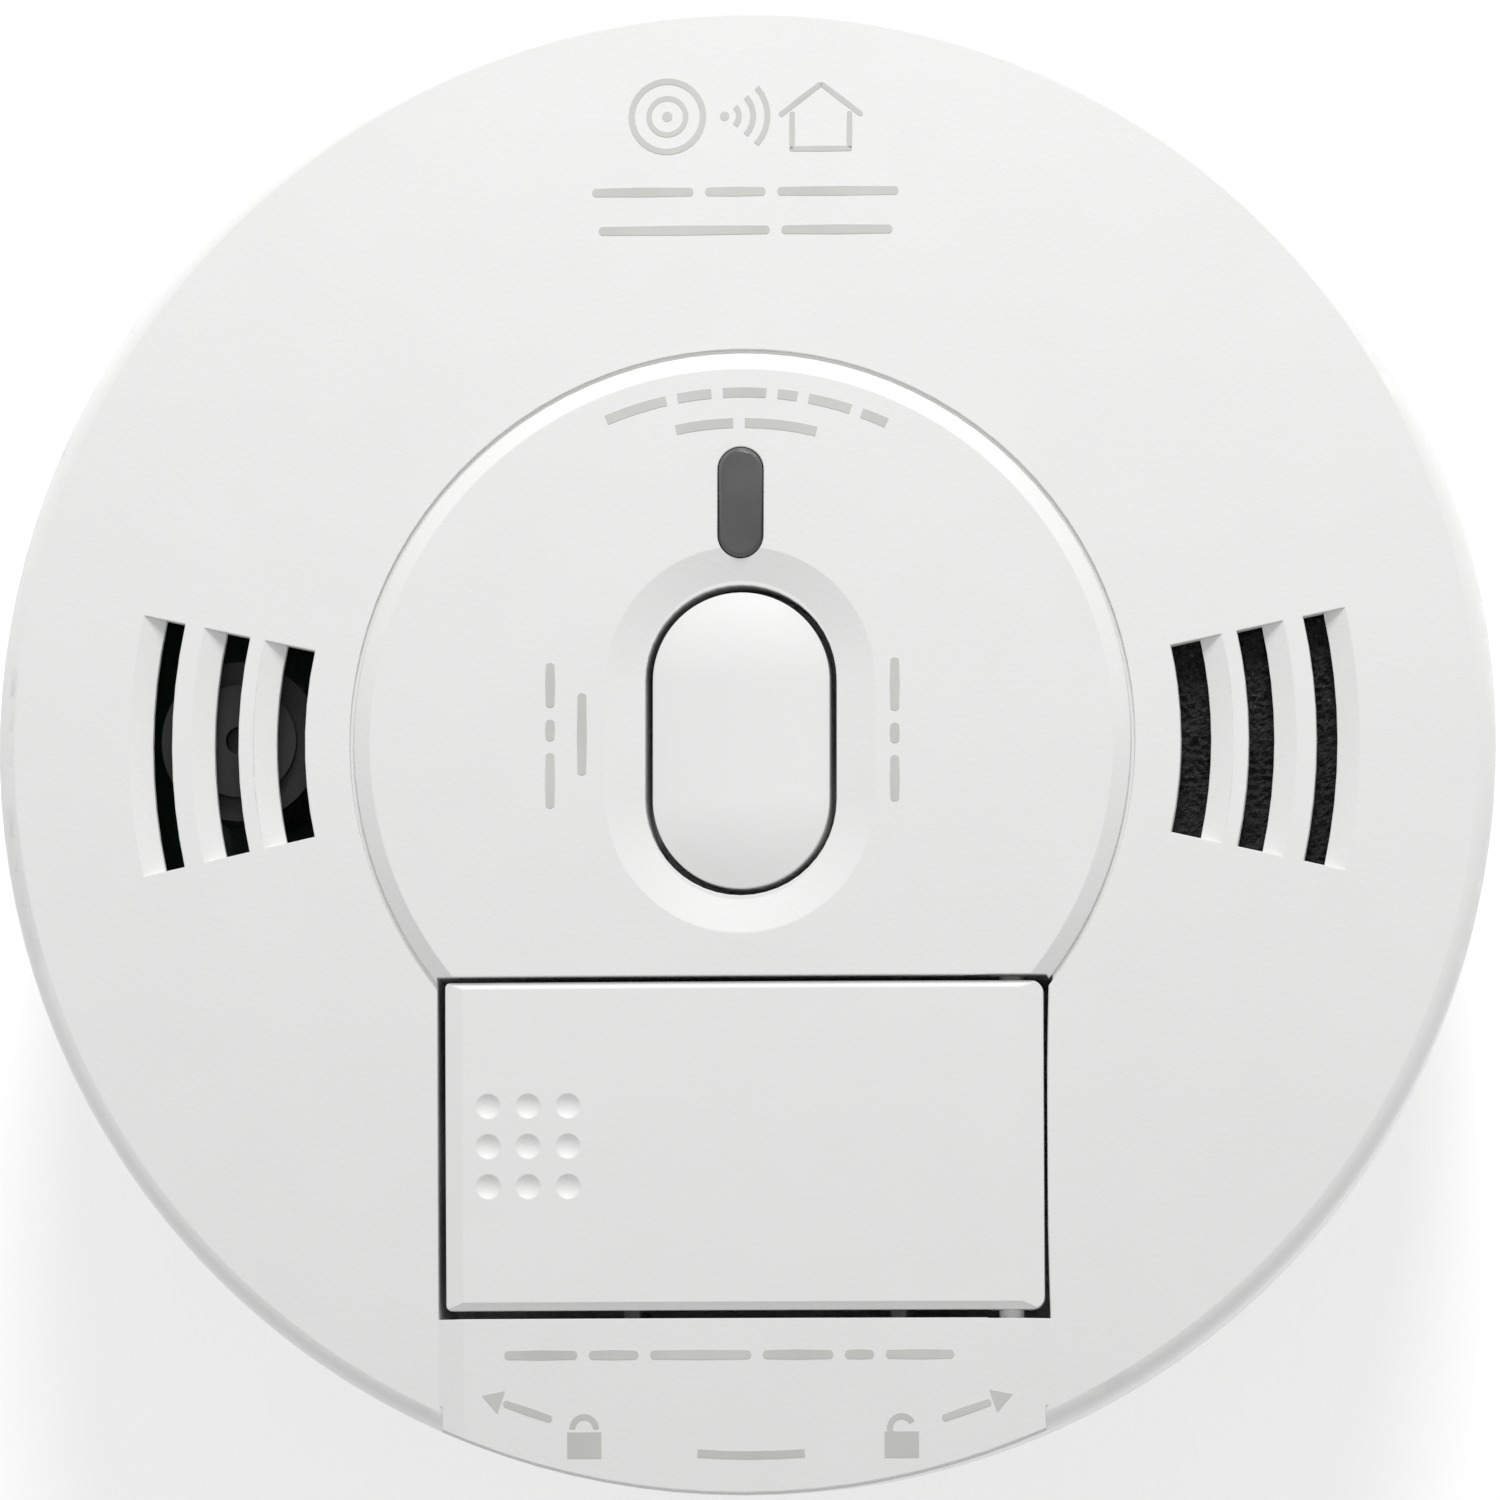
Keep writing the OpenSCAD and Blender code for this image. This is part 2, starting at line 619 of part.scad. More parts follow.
module test_button() color(white) {
    difference() {
        intersection() {
            bar(button_w, button_l, guide_z + guide_t + 2.5, total_h);
            button_crown(button_crown_r, 0);
        }
        bar(button_w - 3, button_l - 3, guide_z, button_top - cap_t);
    }
    post([0, 0], stem_r, stem_z, button_top - cap_t + eps);
    // Barb that keeps the button in its guide
    translate([0, 0, guide_z - free_gap - 1.6]) cylinder(r1 = stem_r, r2 = stem_r + 0.7, h = 0.8);
    post([0, 0], stem_r + 0.7, guide_z - free_gap - 0.8, guide_z - free_gap);
}

module button_spring() color(steel) translate([0, 0, guide_z + guide_t])
    coil(4.2, button_top - cap_t - guide_z - guide_t, 0.6, 5);

module switch_body() color(black) difference() {
    translate([0, 0, board_top + switch_h / 2]) cube([6, 6, switch_h], center = true);
    post([0, 0], 1.75 + run_gap, board_top + 1.5, total_h);
}

module switch_plunger() color("saddlebrown") post([0, 0], 1.75, board_top + 2.2, plunger_top);

// ---- Indicator ----

module light_pipe() color([0.3, 0.3, 0.32]) translate([0, lens_y]) {
    bevel = 0.35;
    top = dome_z(lens_y, panel_h) + 0.25;
    bar(lens_w, lens_l, lens_seat_z - eps, top - bevel);
    flare(lens_w, lens_w - 2 * bevel, lens_l - lens_w, top - bevel - eps, top);
    bar(lens_w + 1.6, lens_l + 1.6, lens_seat_z - 1.2, lens_seat_z);
    bar(lens_w - 1, lens_l - 1.4, board_top + 5.2, lens_seat_z - 1.2 + eps);
}

module status_leds() color("whitesmoke") for (s = [-1, 1]) {
    translate([0, lens_y + s * 2.6, board_top]) cylinder(r = 1.9, h = 1);
    translate([0, lens_y + s * 2.6, board_top]) cylinder(r = 1.5, h = 3.1);
    translate([0, lens_y + s * 2.6, board_top + 3.1]) sphere(r = 1.5, $fn = 48);
}

// ---- Circuit board and what it carries ----

module circuit_board() color(green) difference() {
    translate([0, 0, board_z]) cylinder(r = board_r, h = board_t);
    block([-opening_x - tray_wall - 1, -body_r, 0],
        [tray_x1 + tray_wall + 1, tray_wall + 1 - opening_top, board_top + 1]);
    boss_places() post([0, 0], boss_r + 0.5, 0, total_h);
    board_posts() post([0, 0], board_screw_r + free_gap, 0, total_h);
}

module board_screws() color(steel) board_posts() difference() {
    union() {
        post([0, 0], 2.6, board_top, board_top + 1.8);
        post([0, 0], board_screw_r, board_z - 5, board_top + eps);
    }
    cross_recess(board_top + 1.8, -1);
}

module chip(p, size, legs, pitch) {
    translate([p[0], p[1], board_top + size[2] / 2 + 0.4]) cube(size, center = true);
    for (i = [0:legs - 1], s = [-1, 1])
        block([p[0] + (i - (legs - 1) / 2) * pitch - 0.25, p[1] + s * (size[1] / 2 + 0.45) - 0.5, board_top],
            [p[0] + (i - (legs - 1) / 2) * pitch + 0.25, p[1] + s * (size[1] / 2 + 0.45) + 0.5, board_top + 1.2]);
}

module microcontroller() color(black) chip([-20, 11], [10, 7.5, 2], 8, 1.2);

module alarm_chip() color(black) chip([18, 14], [19.3, 6.4, 3.4], 8, 2.3);

module capacitors() color("darkslateblue")
    for (c = [[-33, 4.5, 3.5, 11], [-33.5, -7, 3, 9], [-46, -16, 4, 12]])
        post(c, c[2], board_top, board_top + c[3]);

module inductor() color("saddlebrown") translate([20, -8, board_top]) {
    for (z = [0, 6]) translate([0, 0, z]) cylinder(r = 4.2, h = 1.5);
    cylinder(r = 3.2, h = 7);
}

module resistors() color("tan") for (x = [-12:4:8]) {
    translate([x, -9, board_top + 1.2]) rotate([90, 0, 0]) cylinder(r = 1.1, h = 6);
    for (y = [-7.5, -16.5]) block([x - 0.3, y - 0.3, board_top], [x + 0.3, y + 0.3, board_top + 1.5]);
    translate([x, -7.3, board_top + 1.2]) rotate([90, 0, 0]) cylinder(r = 0.3, h = 9.4);
}

// ---- Smoke chamber ----

module ion_chamber_base() color("whitesmoke") translate([sensor_x, 0, board_top]) difference() {
    union() {
        cylinder(r = chamber_r - 0.5, h = 2);
        for (a = [60, 180, 300]) rotate([0, 0, a]) translate([10, 0, 0]) cylinder(r = 1, h = 9);
    }
    translate([0, 0, -1]) cylinder(r = 5, h = 4);
}

module source_holder() color("goldenrod") translate([sensor_x, 0, board_top]) difference() {
    cylinder(r = 5 - nest_gap, h = 2.8);
    translate([0, 0, 2]) cylinder(r = 2.5, h = 2);
}

module collector_plate() color(steel) translate([sensor_x, 0, board_top + 9]) difference() {
    cylinder(r = 12.5, h = 0.5);
    translate([0, 0, -1]) cylinder(r = 3, h = 3);
}

module ion_chamber_can() color(steel) translate([sensor_x, 0, board_top]) difference() {
    cylinder(r = chamber_r, h = chamber_h);
    translate([0, 0, -1]) cylinder(r = chamber_r - 0.4, h = chamber_h + 0.6);
    for (i = [0:11]) rotate([0, 0, 30 * i + 15]) block([chamber_r - 2, -1.5, 6], [chamber_r + 1, 1.5, 14]);
    for (i = [0:7]) rotate([0, 0, 45 * i]) translate([9, 0, chamber_h - 1]) cylinder(r = 2, h = 2);
    translate([0, 0, chamber_h - 1]) cylinder(r = 3, h = 2);
}

// A pad of open foam under the right-hand slots, which follows the dome
module vent_screen() color(black) {
    r0 = vent_r - 2.2;
    r1 = vent_r + (vent_count - 1) * vent_pitch + vent_w + 2;
    span = vent_angle + 6;
    thick = 2.8;
    rotate([0, 0, -span / 2]) rotate_extrude(angle = span) polygon([
        [r0, dome_z(r0, -cover_wall) - thick], [r1, dome_z(r1, -cover_wall) - thick],
        [r1, dome_z(r1, -cover_wall) - 0.02], [r0, dome_z(r0, -cover_wall) - 0.02]]);
}

// ---- Carbon monoxide sensor ----

module co_sensor_body() color("dimgray") translate([-sensor_x, 0.7, board_top + 2])
    cylinder(r = co_r, h = co_h);

module co_sensor_cap() color(black) translate([-sensor_x, 0.7, board_top + 2 + co_h]) difference() {
    union() {
        cylinder(r = co_r + 0.3, h = 2);
        cylinder(r = co_r - 2, h = 3);
    }
    translate([0, 0, 1.5]) cylinder(r = 1.4, h = 2);
}

module co_sensor_pins() color("gold") for (a = [30, 150, 270])
    translate([-sensor_x, 0.7, board_top]) rotate([0, 0, a]) translate([4.5, 0, 0]) cylinder(r = 0.6, h = 2);

// ---- Horn ----

module horn_housing() color("whitesmoke") translate([0, horn_y, board_top]) difference() {
    cylinder(r = horn_r, h = 9);
    translate([0, 0, 4]) cylinder(r = horn_r - 1.8, h = 6);
    translate([0, 0, 1.5]) cylinder(r = horn_r - 3.5, h = 6);
    for (p = horn_pins) translate([p[0], p[1], -1]) cylinder(r = 1, h = 4);
}

module horn_disc() color("goldenrod") translate([0, horn_y, board_top + 4]) {
    cylinder(r = horn_r - 1.8 - nest_gap, h = 0.3);
    translate([0, 0, 0.3]) cylinder(r = horn_r - 6, h = 0.25);
}

module horn_cap() color("whitesmoke") translate([0, horn_y, board_top + 9]) difference() {
    union() {
        cylinder(r = horn_r, h = 1.6);
        translate([0, 0, -3]) cylinder(r = 4.5, h = 6);
    }
    translate([0, 0, -4]) cylinder(r = 3.3, h = 12);
}

module horn_contacts() color("gold") for (p = horn_pins)
    translate([p[0], horn_y + p[1], board_top]) cylinder(r = 0.6, h = 4);

mounting_bracket();
rear_housing();
front_cover();
battery_tray();
housing_screws();
rating_label();
circuit_board();
board_screws();
ion_chamber_base();
source_holder();
collector_plate();
ion_chamber_can();
vent_screen();
co_sensor_body();
co_sensor_cap();
co_sensor_pins();
horn_housing();
horn_disc();
horn_cap();
horn_contacts();
light_pipe();
status_leds();
microcontroller();
alarm_chip();
capacitors();
inductor();
resistors();
switch_body();
switch_plunger();
test_button();
button_spring();
battery();
battery_terminals();
battery_contacts();
latch_housing();
latch_plunger();
latch_spring();
battery_door();
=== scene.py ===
# %% [markdown]
# # A round smoke and carbon monoxide alarm
# The alarm lies on its back with its face upward. Its solid parts come from the CAD model and
# keep their places. This lesson gives them their finishes and adds what a CAD model leaves out:
# the printing on the face, the open foam behind the slots, the wound springs and the battery's
# snaps and jacket.

# %% Load the frame
import math
import bmesh
import bpy
from mathutils import Matrix, Vector, noise


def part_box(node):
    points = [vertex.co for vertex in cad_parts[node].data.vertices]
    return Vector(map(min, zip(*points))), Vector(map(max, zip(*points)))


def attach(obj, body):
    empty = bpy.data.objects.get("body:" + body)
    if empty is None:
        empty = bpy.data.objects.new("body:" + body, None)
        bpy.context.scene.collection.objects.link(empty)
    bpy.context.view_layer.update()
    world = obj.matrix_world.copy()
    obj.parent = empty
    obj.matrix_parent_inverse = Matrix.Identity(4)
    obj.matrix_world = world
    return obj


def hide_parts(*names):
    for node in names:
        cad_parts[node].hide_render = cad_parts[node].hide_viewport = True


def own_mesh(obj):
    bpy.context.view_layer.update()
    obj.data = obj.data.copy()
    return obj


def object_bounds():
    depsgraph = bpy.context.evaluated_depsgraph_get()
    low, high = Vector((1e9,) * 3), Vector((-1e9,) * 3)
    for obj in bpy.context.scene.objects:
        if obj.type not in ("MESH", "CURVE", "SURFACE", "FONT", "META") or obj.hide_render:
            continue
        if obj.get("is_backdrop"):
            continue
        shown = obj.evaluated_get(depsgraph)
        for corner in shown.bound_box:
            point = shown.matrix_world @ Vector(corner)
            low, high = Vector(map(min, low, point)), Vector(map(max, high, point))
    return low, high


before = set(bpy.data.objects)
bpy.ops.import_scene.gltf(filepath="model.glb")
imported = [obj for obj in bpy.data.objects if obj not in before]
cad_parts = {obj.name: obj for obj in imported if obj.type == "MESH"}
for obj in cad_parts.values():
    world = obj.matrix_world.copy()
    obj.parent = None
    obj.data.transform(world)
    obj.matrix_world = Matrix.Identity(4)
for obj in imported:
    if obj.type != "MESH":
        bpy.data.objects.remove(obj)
CAD_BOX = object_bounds()
MM = 0.001
print("nodes:", len(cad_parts))

# %% [markdown]
# The face is part of a very shallow dome, and the printing has to lie on it. Two radii are all
# that describe it: the dome itself, and the raised panel that runs a little above it. Heights
# are counted from the middle of the panel, the highest point of the face.

# %% The face's dome
DOME_R = 650 * MM
PANEL_H = 0.9 * MM
FACE_TOP = 45.7 * MM
DOME_CENTRE = FACE_TOP - PANEL_H - DOME_R


def dome_height(x, y, above=0.0):
    """Height of the dome, or of a surface that runs above it, over a point of the face."""
    return DOME_CENTRE + math.sqrt((DOME_R + above) ** 2 - x * x - y * y)


print("top of the panel at %.2f mm" % (dome_height(0, 0, PANEL_H) / MM))

# %% [markdown]
# ## Finishes
# Almost everything here is moulded plastic. A mould is spark-eroded, which leaves a fine pebbled
# grain of a few tenths of a millimetre, and the colour drifts very slightly over the surface. One
# helper builds every finish from the same three noises on Object coordinates: one for the colour,
# one for the roughness and one for the grain's bump. Edges come from a Bevel node, which rounds
# the shading where two faces meet, as the mould's edges do.

# %% Helper: a finish
def finish(name, colour, rough, drift=0.02, grain=0.35, depth=0.01, edge=0.12, metal=0.0,
           coat=0.0, spread=0.04, stretch=(1, 1, 1)):
    """A procedural finish. grain, depth and edge are in millimetres."""
    mat = bpy.data.materials.new(name)
    mat.use_nodes = True
    nodes, links = mat.node_tree.nodes, mat.node_tree.links
    shader = nodes["Principled BSDF"]
    shader.inputs["Metallic"].default_value = metal
    shader.inputs["Coat Weight"].default_value = coat
    where = nodes.new("ShaderNodeTexCoord")
    mapping = nodes.new("ShaderNodeMapping")
    mapping.inputs["Scale"].default_value = stretch
    links.new(where.outputs["Object"], mapping.inputs["Vector"])

    def pattern(size, detail):
        tex = nodes.new("ShaderNodeTexNoise")
        tex.inputs["Scale"].default_value = 1 / (size * MM)
        tex.inputs["Detail"].default_value = detail
        links.new(mapping.outputs["Vector"], tex.inputs["Vector"])
        return tex.outputs["Fac"]

    ramp = nodes.new("ShaderNodeValToRGB")
    ramp.color_ramp.elements[0].position = 0.3
    ramp.color_ramp.elements[1].position = 0.7
    ramp.color_ramp.elements[0].color = [c * (1 - drift) for c in colour] + [1]
    ramp.color_ramp.elements[1].color = [min(1, c * (1 + drift)) for c in colour] + [1]
    links.new(pattern(9, 4), ramp.inputs["Fac"])
    links.new(ramp.outputs["Color"], shader.inputs["Base Color"])
    spread_of = nodes.new("ShaderNodeMapRange")
    spread_of.inputs["To Min"].default_value = max(0.02, rough - spread)
    spread_of.inputs["To Max"].default_value = min(1, rough + spread)
    links.new(pattern(3, 3), spread_of.inputs["Value"])
    links.new(spread_of.outputs["Result"], shader.inputs["Roughness"])
    bevel = nodes.new("ShaderNodeBevel")
    bevel.samples = 4
    bevel.inputs["Radius"].default_value = edge * MM
    bump = nodes.new("ShaderNodeBump")
    bump.inputs["Strength"].default_value = 1
    bump.inputs["Distance"].default_value = depth * MM
    links.new(pattern(grain, 2), bump.inputs["Height"])
    links.new(bevel.outputs["Normal"], bump.inputs["Normal"])
    links.new(bump.outputs["Normal"], shader.inputs["Normal"])
    return mat


# %% [markdown]
# Each finish is named for what it is on the real alarm; the horn's near-black also stands in
# for the shade seen through the slots over it. The whites are close to neutral: the
# cover and door have the coarser grain, the button is smoother, so it looks a shade cleaner, and
# the parts behind are a little greyer.

# %% Finishes of the shells
cover_white = finish("cover_white", (0.83, 0.83, 0.825), 0.55, 0.008, 0.42, 0.02, 0.2)
door_white = finish("door_white", (0.835, 0.835, 0.83), 0.54, 0.008, 0.42, 0.016, 0.2)
button_white = finish("button_white", (0.84, 0.84, 0.835), 0.42, 0.006, 0.3, 0.003, 0.25)
shell_white = finish("shell_white", (0.78, 0.78, 0.77), 0.55, 0.01, 0.4, 0.012, 0.15)
ink_grey = finish("ink_grey", (0.58, 0.58, 0.56), 0.6, 0.06, 0.25, 0.003, 0.02)
lens_smoke = finish("lens_smoke", (0.085, 0.085, 0.087), 0.16, 0.25, 1.6, 0.004, 0.25, coat=0.7)
print("shell finishes:", len(bpy.data.materials))

# %% Finishes of what is inside
board_green = finish("board_green", (0.012, 0.06, 0.03), 0.35, 0.3, 1.2, 0.01, 0.05, coat=0.2)
black_case = finish("black_case", (0.02, 0.02, 0.022), 0.5, 0.2, 0.2, 0.006, 0.08)
foam_black = finish("foam_black", (0.012, 0.012, 0.013), 0.95, 0.6, 0.5, 0.25, 0.02)
zinc_steel = finish("zinc_steel", (0.62, 0.63, 0.65), 0.3, 0.05, 0.15, 0.003, 0.05, metal=1)
tinned_steel = finish("tinned_steel", (0.5, 0.5, 0.5), 0.38, 0.08, 0.3, 0.004, 0.06, metal=1)
spring_wire = finish("spring_wire", (0.6, 0.6, 0.62), 0.22, 0.05, 0.2, 0.002, 0.02, metal=1,
                     stretch=(1, 1, 6))
disc_brass = finish("disc_brass", (0.7, 0.5, 0.2), 0.3, 0.08, 0.4, 0.003, 0.03, metal=1)
led_clear = finish("led_clear", (0.75, 0.76, 0.72), 0.08, 0.03, 1.0, 0.001, 0.1, coat=0.5)
sleeve_blue = finish("sleeve_blue", (0.01, 0.014, 0.05), 0.25, 0.2, 0.8, 0.004, 0.15, coat=0.3)
coil_copper = finish("coil_copper", (0.45, 0.16, 0.06), 0.3, 0.15, 0.3, 0.02, 0.05, metal=1,
                     stretch=(0.2, 0.2, 3))
resistor_tan = finish("resistor_tan", (0.5, 0.34, 0.17), 0.4, 0.2, 0.5, 0.004, 0.1)
jacket_grey = finish("jacket_grey", (0.035, 0.036, 0.04), 0.35, 0.12, 0.6, 0.003, 0.2, coat=0.3)
sensor_grey = finish("sensor_grey", (0.09, 0.085, 0.08), 0.35, 0.15, 0.5, 0.004, 0.15)
chamber_white = finish("chamber_white", (0.62, 0.62, 0.6), 0.5, 0.03, 0.4, 0.006, 0.12)
# Painted shade: the horn is near-black, as horns often are, and dark enough to stand in for the
# shade seen through the left-hand slots over it.
horn_black_painted_shade = finish("horn_black_painted_shade", (0.012, 0.012, 0.013), 0.6, 0.15, 0.4, 0.006, 0.12)
label_silver = finish("label_silver", (0.6, 0.6, 0.61), 0.4, 0.03, 0.2, 0.002, 0.02)
print("all finishes:", len(bpy.data.materials))

# %% [markdown]
# The CAD nodes keep their shapes and take these finishes. A table from finish to nodes is easier
# to read, and to change, than one line for each node.

# %% Give every node its finish
FINISH_OF = {
    cover_white: ["front_cover"],
    door_white: ["battery_door"],
    button_white: ["test_button", "switch_plunger"],
    shell_white: ["mounting_bracket", "rear_housing", "battery_tray", "latch_housing"],
    lens_smoke: ["light_pipe"],
    board_green: ["circuit_board"],
    black_case: ["microcontroller", "alarm_chip", "switch_body", "latch_plunger", "co_sensor_cap"],
    foam_black: ["vent_screen"],
    zinc_steel: ["housing_screws", "board_screws", "battery_terminals", "battery_contacts"],
    tinned_steel: ["ion_chamber_can", "collector_plate"],
    spring_wire: ["button_spring", "latch_spring"],
    disc_brass: ["horn_disc", "horn_contacts", "source_holder", "co_sensor_pins"],
    led_clear: ["status_leds"],
    sleeve_blue: ["capacitors"],
    coil_copper: ["inductor"],
    resistor_tan: ["resistors"],
    jacket_grey: ["battery"],
    sensor_grey: ["co_sensor_body"],
    chamber_white: ["ion_chamber_base"],
    # The horn's near-black is partly painted shade for the slots above it.
    horn_black_painted_shade: ["horn_housing", "horn_cap"],
    label_silver: ["rating_label"],
}
for mat, names in FINISH_OF.items():
    for node in names:
        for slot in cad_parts[node].material_slots:
            slot.material = mat
given = sum(len(names) for names in FINISH_OF.values())
print("nodes with a finish:", given, "of", len(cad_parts))

# %% [markdown]
# ## The printing
# The face carries pale grey pad printing. Here it is plain marks with no lettering: rows of short
# bars where a real alarm has its lines of small print, three simple signs at the top, and two
# arrows with padlocks that show which way it turns to lock and to come off. Ink is a very thin
# film, so each mark is a flat outline laid just above the dome and given a little thickness with
# Solidify, which also sinks its underside into the plastic.

# %% Helpers: flat marks
PRINT_LIFT = 0.035 * MM
PRINT_SINK = 0.03 * MM
CUT_EVERY = 3.1 * MM
DEGREES_PER_STEP = 12


def about_z(degrees):
    """The matrix of a turn about Z."""
    return Matrix.Rotation(math.radians(degrees), 3, "Z")


def placed(bm, new, x, y, turn=0.0):
    """Turns newly made vertices by degrees and moves them to a place given in millimetres."""
    verts = [v for v in new if isinstance(v, bmesh.types.BMVert)]
    bmesh.ops.rotate(bm, verts=verts, cent=(0, 0, 0), matrix=about_z(turn))
    bmesh.ops.translate(bm, verts=verts, vec=(x * MM, y * MM, 0))


def mark_bar(bm, x, y, length, width, turn=0.0):
    """A bar with round ends: a circle whose two halves are pulled apart."""
    new = bmesh.ops.create_circle(bm, cap_ends=True, segments=12, radius=width / 2 * MM)["verts"]
    for side in (-1, 1):
        half_round = [v for v in new if v.co.x * side > 1e-7]
        bmesh.ops.translate(bm, verts=half_round, vec=(side * (length - width) / 2 * MM, 0, 0))
    placed(bm, new, x, y, turn)


def mark_block(bm, x, y, length, width):
    """A plain rectangle."""
    new = bmesh.ops.create_grid(bm, x_segments=1, y_segments=1, size=0.5)["verts"]
    bmesh.ops.scale(bm, vec=(length * MM, width * MM, 1), verts=new)
    placed(bm, new, x, y)


def mark_arc(bm, x, y, radius, width, start, end, turn=0.0):
    """Part of a ring, or all of it, spun from a short line."""
    line = [bm.verts.new(((radius + s * width / 2) * MM, 0, 0)) for s in (-1, 1)]
    edge = bm.edges.new(line)
    bmesh.ops.rotate(bm, verts=line, cent=(0, 0, 0), matrix=about_z(start))
    whole = end - start >= 360
    before = set(bm.verts) - set(line)
    steps = max(4, int((end - start) / DEGREES_PER_STEP))
    bmesh.ops.spin(bm, geom=line + [edge], cent=(0, 0, 0), axis=(0, 0, 1), dvec=(0, 0, 0),
                   angle=math.radians(end - start), steps=steps, use_merge=whole)
    placed(bm, [v for v in bm.verts if v not in before], x, y, turn)


def mark_point(bm, x, y, size, turn=0.0):
    """A triangle that points along its turn."""
    new = bmesh.ops.create_circle(bm, cap_ends=True, segments=3, radius=size * MM)["verts"]
    placed(bm, new, x, y, turn - 90)


def print_piece(name, bm, above):
    """Lays flat marks on the dome, thickens them and makes them a piece that rides the alarm.

    Long marks are first cut across every few millimetres, so that they can follow the dome.
    """
    for axis in (0, 1):
        places = [v.co[axis] for v in bm.verts]
        across = Vector((1 - axis, axis, 0))
        for step in range(int(min(places) / CUT_EVERY), int(max(places) / CUT_EVERY) + 1):
            bmesh.ops.bisect_plane(bm, geom=bm.verts[:] + bm.edges[:] + bm.faces[:], dist=1e-7,
                                   plane_co=across * step * CUT_EVERY, plane_no=across)
    for v in bm.verts:
        v.co.z = dome_height(v.co.x, v.co.y, above) + PRINT_LIFT
    bmesh.ops.recalc_face_normals(bm, faces=bm.faces)
    turned = [f for f in bm.faces if f.normal.z < 0]
    bmesh.ops.reverse_faces(bm, faces=turned)
    mesh = bpy.data.meshes.new(name)
    bm.to_mesh(mesh)
    bm.free()
    piece = bpy.data.objects.new(name, mesh)
    bpy.context.scene.collection.objects.link(piece)
    film = piece.modifiers.new("film", "SOLIDIFY")
    film.thickness = PRINT_LIFT + PRINT_SINK
    film.offset = -1
    mesh.materials.append(ink_grey)
    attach(piece, "alarm")
    print(name, "has", len(mesh.polygons), "faces")


# %% [markdown]
# A line of small print is a run of words. Each word becomes one bar as long as the word would be,
# so the line keeps its length and its rhythm. A line may be straight, at any turn, or bent round
# the centre of the face, as the one above the lens is.

# %% Helpers: lines of bars
BAR_WIDTH = 0.95
WORD_GAP = 1.15


def print_line(bm, x, y, words, turn=0.0):
    """A straight line of bars centred on a place; words holds their lengths in millimetres."""
    total = sum(words) + WORD_GAP * (len(words) - 1)
    along = Vector((math.cos(math.radians(turn)), math.sin(math.radians(turn))))
    at = -total / 2
    for word in words:
        middle = Vector((x, y)) + along * (at + word / 2)
        mark_bar(bm, middle.x, middle.y, word, BAR_WIDTH, turn)
        at += word + WORD_GAP


def print_round(bm, radius, words, middle=90.0):
    """A line of bars bent round the centre, read from left to right."""
    total = sum(words) + WORD_GAP * (len(words) - 1)
    at = total / 2
    for word in words:
        end, start = (middle + math.degrees((at - d) / radius) for d in (0, word))
        mark_arc(bm, 0, 0, radius, BAR_WIDTH, start, end)
        at -= word + WORD_GAP


# %% The signs and lines at the top
marks = bmesh.new()
SIGNS_Y = 61.3
mark_arc(marks, -7.4, SIGNS_Y, 3.5, 0.6, 0, 360)
mark_arc(marks, -7.4, SIGNS_Y, 1.8, 0.5, 0, 360)
mark_bar(marks, -7.4, SIGNS_Y, 1.0, 1.0)
mark_bar(marks, -1.8, SIGNS_Y, 0.9, 0.9)
for reach in (1.4, 2.8, 4.2):
    mark_arc(marks, -1.8, SIGNS_Y, reach, 0.55, -42, 42)
HOUSE_X = 7.6
for side in (-1, 1):
    mark_bar(marks, HOUSE_X + side * 2.0, SIGNS_Y + 1.6, 5.2, 0.55, -side * 38)
    mark_bar(marks, HOUSE_X + side * 2.8, SIGNS_Y - 1.5, 3.8, 0.55, 90)
mark_bar(marks, HOUSE_X, SIGNS_Y - 3.3, 6.1, 0.55)
print_line(marks, 0.25, 53.8, (9.9, 5.9, 11.8))
print_line(marks, 0.3, 50.0, (16.7, 10.8))
print_piece("print_top", marks, 0)

# %% The lines round the lens and the button
marks = bmesh.new()
print_round(marks, 33.9, (6.1, 3.3, 4.2, 1.9, 4.2, 2.6), 89)
print_round(marks, 30.9, (5.6, 7.0), 89)
print_line(marks, -18.5, 0.5, (5.4, 2.1, 4.4), 90)
print_line(marks, -15.4, 0.6, (8.0,), 90)
print_line(marks, 15.0, 0.9, (5.2, 2.0, 4.5), -90)
print_piece("print_panel", marks, PANEL_H)

# %% The line, arrows and padlocks on the tongue
marks = bmesh.new()
print_line(marks, -1.3, -59.5, (7.1, 4.8, 9.8, 6.8, 2.8, 6.6))
ARROW_TURN = 19
for side, arrow_x in ((-1, 20.9), (1, 21.7)):
    mark_bar(marks, side * arrow_x, -64.9, 5.0, 0.75, side * ARROW_TURN)
    mark_point(marks, side * (arrow_x + 3.2), -63.8, 1.3, 90 + side * (ARROW_TURN - 90))
    opened = 30 if side > 0 else 0
    mark_arc(marks, side * 15.4, -66.6, 1.15, 0.55, 0, 180, opened)
    mark_block(marks, side * 15.4, -68.2, 3.3, 2.5)
mark_arc(marks, 0.8, 0, 69.2, 0.75, 265.7, 274.3)
print_piece("print_tongue", marks, PANEL_H)

# %% [markdown]
# ## The foam behind the slots
# The smoke chamber breathes through a pad of black open-cell foam, which shows through the
# right-hand slots as a rough black face with slightly paler cell walls. The CAD pad is smooth, so
# it is replaced: a fine grid is bent to the pad's sector of a ring, each point sinks by a noise
# value, which opens the cells, and the grid is extruded down for the pad's thickness.

